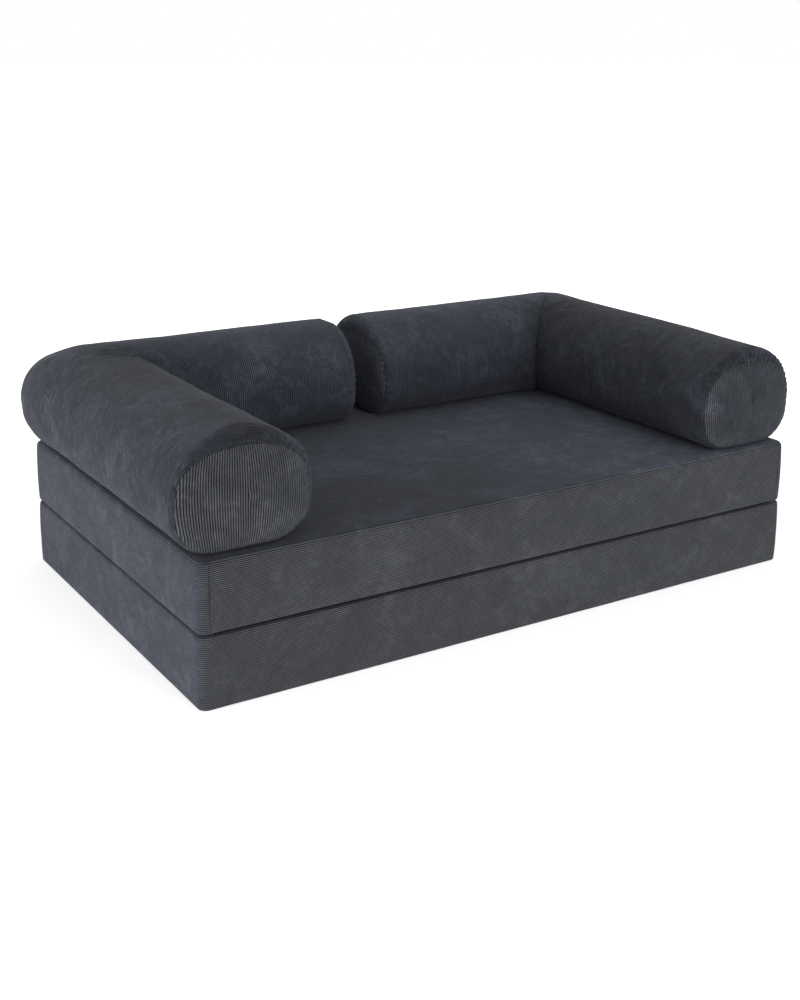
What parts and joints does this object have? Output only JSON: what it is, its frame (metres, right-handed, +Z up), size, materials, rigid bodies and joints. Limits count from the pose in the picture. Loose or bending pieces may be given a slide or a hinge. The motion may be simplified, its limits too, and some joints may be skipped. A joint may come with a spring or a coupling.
{
  "type": "folding sofa bed",
  "caption": "Low corduroy floor sofa of stacked foam sections that fold out flat into a bed, with loose round L-shaped bolsters as its back and arms.",
  "frame": {"origin": "On the floor, under the middle of the folded sections.", "axes": "+X to the sitter's left along the width, +Y from the open front to the back, +Z up."},
  "size_m": [1.562, 0.9212, 0.5313],
  "materials": {
    "corduroy": "fine ribbed corduroy, brushed matt",
    "foam": "open-cell foam, matt",
    "grip_cloth": "cloth with small grip dots",
    "hinge_cloth": "plain strong cloth",
    "zip_nylon": "coil and woven tape, matt",
    "zip_metal": "black lacquered, satin"
  },
  "bodies": {
    "lower_section": {"lower_cover": "corduroy", "nonslip_base": "grip_cloth", "lower_foam_core": "foam", "hinge_lower_leaf": "hinge_cloth", "lower_zip_tape": "zip_nylon"},
    "upper_section": {"upper_cover": "corduroy", "upper_foam_core": "foam", "hinge_upper_leaf": "hinge_cloth", "upper_zip_tape": "zip_nylon"},
    "left_bolster": {"left_bolster_cover": "corduroy", "left_bolster_side_core": "foam", "left_bolster_back_core": "foam", "left_zip_tape": "zip_nylon"},
    "right_bolster": {"right_bolster_cover": "corduroy", "right_bolster_side_core": "foam", "right_bolster_back_core": "foam", "right_zip_tape": "zip_nylon"},
    "lower_slider": {"lower_zip_slider": "zip_metal"},
    "lower_pull": {"lower_zip_pull": "zip_metal"},
    "upper_slider": {"upper_zip_slider": "zip_metal"},
    "upper_pull": {"upper_zip_pull": "zip_metal"},
    "left_slider": {"left_zip_slider": "zip_metal"},
    "left_pull": {"left_zip_pull": "zip_metal"},
    "right_slider": {"right_zip_slider": "zip_metal"},
    "right_pull": {"right_zip_pull": "zip_metal"}
  },
  "joints": [
    {"name": "fold_out", "type": "hinge", "parent": "lower_section", "child": "upper_section", "pos_m": [0, -0.4573, 0.1485], "axis": [1, 0, 0], "range_deg": [0, 180]},
    {"name": "left_bolster_lift", "type": "slide", "parent": "upper_section", "child": "left_bolster", "axis": [0, 0, 1], "range_m": [0, 0.35]},
    {"name": "right_bolster_lift", "type": "slide", "parent": "upper_section", "child": "right_bolster", "axis": [0, 0, 1], "range_m": [0, 0.35]},
    {"name": "lower_zip_run", "type": "slide", "parent": "lower_section", "child": "lower_slider", "axis": [-1, 0, 0], "range_m": [0, 1.112]},
    {"name": "lower_pull_turn", "type": "hinge", "parent": "lower_slider", "child": "lower_pull", "pos_m": [0.556, 0.4616, 0.0741], "axis": [0, 0, 1], "range_deg": [0, 180]},
    {"name": "upper_zip_run", "type": "slide", "parent": "upper_section", "child": "upper_slider", "axis": [-1, 0, 0], "range_m": [0, 1.112]},
    {"name": "upper_pull_turn", "type": "hinge", "parent": "upper_slider", "child": "upper_pull", "pos_m": [0.556, 0.4616, 0.2214], "axis": [0, 0, 1], "range_deg": [0, 180]},
    {"name": "left_zip_run", "type": "slide", "parent": "left_bolster", "child": "left_slider", "axis": [-1, 0, 0], "range_m": [0, 0.352]},
    {"name": "left_pull_turn", "type": "hinge", "parent": "left_slider", "child": "left_pull", "pos_m": [-0.127, 0.4596, 0.4023], "axis": [0, 0, 1], "range_deg": [0, 180]},
    {"name": "right_zip_run", "type": "slide", "parent": "right_bolster", "child": "right_slider", "axis": [1, 0, 0], "range_m": [0, 0.352]},
    {"name": "right_pull_turn", "type": "hinge", "parent": "right_slider", "child": "right_pull", "pos_m": [0.127, 0.4596, 0.4023], "axis": [0, 0, -1], "range_deg": [0, 180]}
  ]
}
